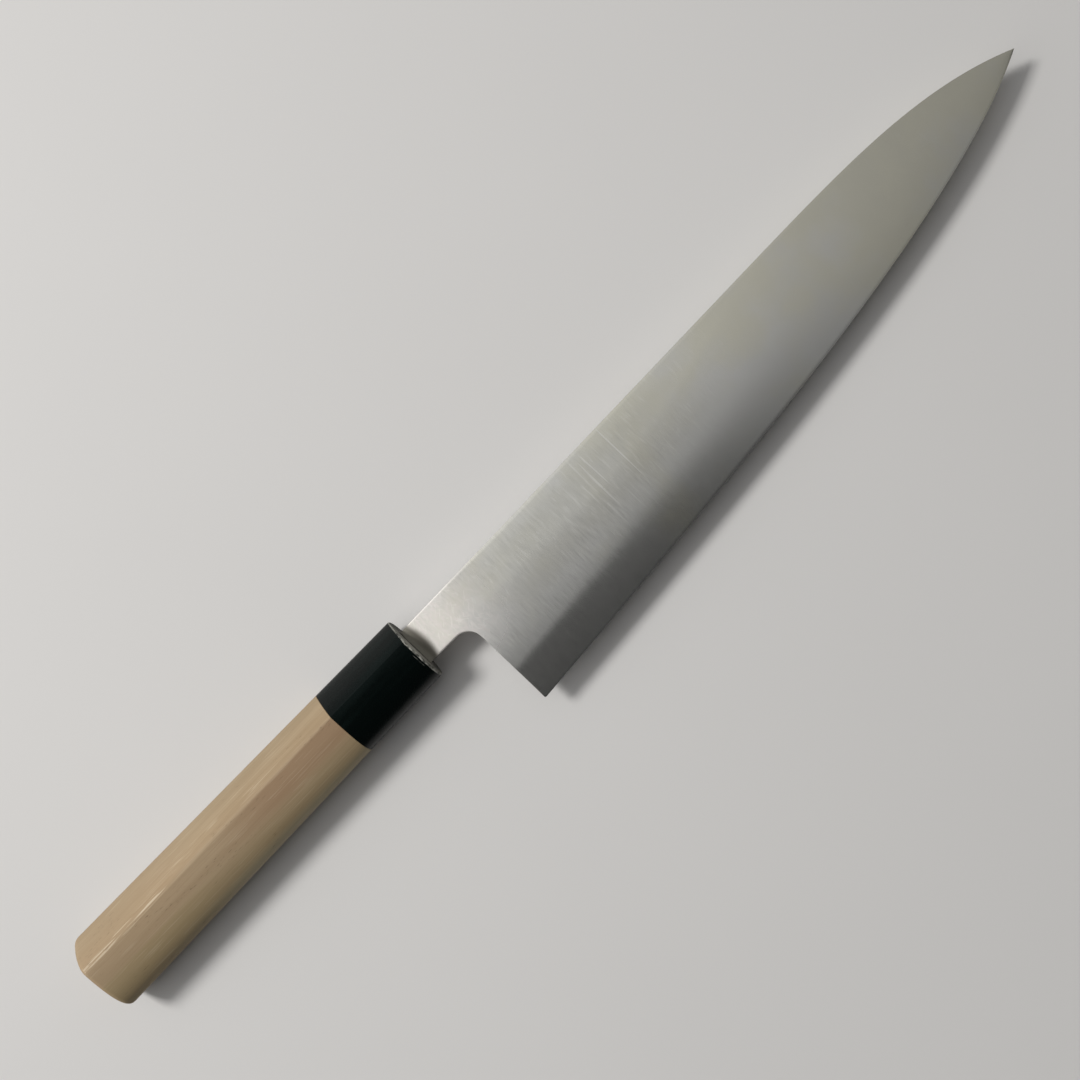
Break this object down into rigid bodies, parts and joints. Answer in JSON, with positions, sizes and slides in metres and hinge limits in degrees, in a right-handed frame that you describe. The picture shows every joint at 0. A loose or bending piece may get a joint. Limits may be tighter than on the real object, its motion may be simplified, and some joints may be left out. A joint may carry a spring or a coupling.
{
  "type": "gyuto knife",
  "caption": "Japanese cook's knife with a long tapering satin blade, a black horn ferrule and a pale D-shaped wooden handle.",
  "frame": {"origin": "middle of the knife's length and width, on the plane that the handle's left side lies on", "axes": "+X from the butt to the tip, +Y from the cutting edge to the spine, +Z out of the blade's right side"},
  "size_m": [0.393, 0.0516, 0.0197],
  "materials": {
    "satin_steel": "satin ground across the blade, from spine to edge",
    "black_horn": "black horn, rubbed to a soft sheen",
    "pale_wood": "bare pale straight-grained wood, sanded smooth",
    "seal_resin": "dark resin, smooth"
  },
  "bodies": {
    "root": {"blade": "satin_steel", "ferrule": "black_horn", "handle": "pale_wood", "tang_seal": "seal_resin"}
  },
  "joints": []
}
